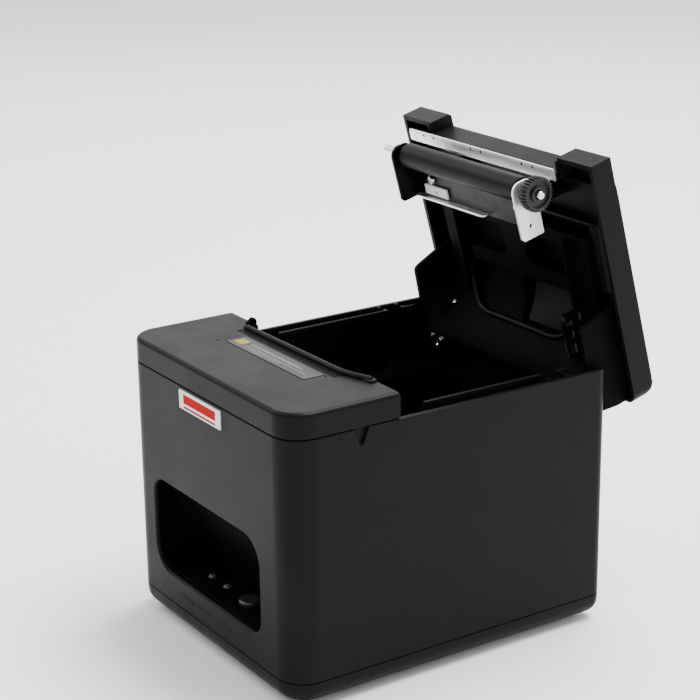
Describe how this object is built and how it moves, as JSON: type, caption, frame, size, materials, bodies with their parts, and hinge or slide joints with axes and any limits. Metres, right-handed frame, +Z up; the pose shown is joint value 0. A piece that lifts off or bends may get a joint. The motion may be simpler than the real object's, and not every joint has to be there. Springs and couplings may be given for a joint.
{
  "type": "receipt printer",
  "caption": "Desktop thermal receipt printer with its top lid open: boxy charcoal casing, paper bay, platen roller on the lid, cutter, front control niche and feed button.",
  "frame": {"origin": "on the floor, under the middle of the overall box with the lid open", "axes": "+Z up, the printer's front faces -Y, +X is to the right when looking at the front"},
  "size_m": [0.145, 0.2024, 0.2259],
  "materials": {
    "casing": "fine-grained charcoal ABS, satin",
    "inner": "black moulded ABS, satin",
    "steel": "zinc-plated and rolled sheet steel",
    "chrome": "ground bright steel",
    "rubber": "black moulded rubber, matt",
    "gear": "black acetal, moulded",
    "lens": "milky light pipe",
    "key": "grey moulded key",
    "plate": "pale printed plate",
    "label": "glossy black sticker with plain marks",
    "white": "white moulded carrier",
    "board": "green solder mask",
    "ceramic": "glazed head substrate",
    "alloy": "extruded, plain"
  },
  "bodies": {
    "body": {"base_tray": "casing", "body_shell": "casing", "front_cover": "casing", "control_niche": "inner", "paper_bay": "inner", "io_panel": "inner", "power_inlet": "inner", "drawer_socket": "inner", "switch_frame": "inner", "hinge_bracket_left": "inner", "hinge_bracket_right": "inner", "base_screw_1": "steel", "base_screw_2": "steel", "base_screw_3": "steel", "base_screw_4": "steel", "tear_bar": "steel", "usb_socket": "steel", "network_socket": "steel", "mechanism_frame": "steel", "head_spring_left": "steel", "head_spring_right": "steel", "cutter_bed": "steel", "cutter_motor": "steel", "feed_motor": "steel", "hinge_pin_left": "chrome", "hinge_pin_right": "chrome", "foot_1": "rubber", "foot_2": "rubber", "foot_3": "rubber", "foot_4": "rubber", "status_light_left": "lens", "status_light_right": "lens", "badge_plate": "plate", "notice_label": "label", "main_board": "board"},
    "lid": {"lid_frame": "casing", "lid_cover": "casing", "lid_liner": "inner", "platen_bracket": "steel", "bracket_screw_left": "chrome", "bracket_screw_right": "chrome", "platen_bush_left": "gear", "platen_bush_right": "gear", "fixed_blade": "steel", "paper_sensor": "white"},
    "platen": {"platen_roller": "rubber", "platen_shaft": "chrome", "platen_gear": "gear"},
    "feed_key": {"feed_button": "key"},
    "rocker": {"power_rocker": "inner"},
    "cutter": {"cutter_blade": "steel"},
    "cutter_drive": {"cutter_pinion": "gear"},
    "idler": {"idler_gear": "gear"},
    "motor_shaft": {"motor_pinion": "steel"},
    "head": {"thermal_head": "ceramic", "head_heatsink": "alloy"}
  },
  "joints": [
    {"name": "lid_hinge", "type": "hinge", "parent": "body", "child": "lid", "pos_m": [0, 0.07025, 0.1085], "axis": [1, 0, 0], "range_deg": [0, 75]},
    {"name": "platen_spin", "type": "hinge", "parent": "lid", "child": "platen", "pos_m": [0, 0.04311, 0.20941], "axis": [1, 0, 0], "continuous": true},
    {"name": "feed_press", "type": "slide", "parent": "body", "child": "feed_key", "axis": [0, 0, -1], "range_m": [0, 0.0012], "stiffness_N_per_m": 400},
    {"name": "power_rock", "type": "hinge", "parent": "body", "child": "rocker", "pos_m": [-0.05, 0.06925, 0.033], "axis": [1, 0, 0], "range_deg": [0, 16]},
    {"name": "cutter_slide", "type": "slide", "parent": "body", "child": "cutter", "axis": [0, 1, 0], "range_m": [0, 0.008]},
    {"name": "cutter_turn", "type": "hinge", "parent": "body", "child": "cutter_drive", "pos_m": [0.02, -0.07075, 0.1201], "axis": [0, 0, 1], "range_deg": [-95.6, 0]},
    {"name": "idler_spin", "type": "hinge", "parent": "body", "child": "idler", "pos_m": [0.0538, -0.04222, 0.09401], "axis": [1, 0, 0], "continuous": true},
    {"name": "motor_spin", "type": "hinge", "parent": "body", "child": "motor_shaft", "pos_m": [0.0538, -0.04369, 0.08357], "axis": [1, 0, 0], "continuous": true},
    {"name": "head_tilt", "type": "hinge", "parent": "body", "child": "head", "pos_m": [0, -0.04405, 0.0986], "axis": [1, 0, 0], "range_deg": [0, 2.5], "stiffness_Nm_per_rad": 4}
  ],
  "couplings": [
    {"joint": "cutter_turn", "follows": "cutter_slide", "rad_per_m": -208.33},
    {"joint": "motor_spin", "follows": "idler_spin", "ratio": -2.5}
  ]
}
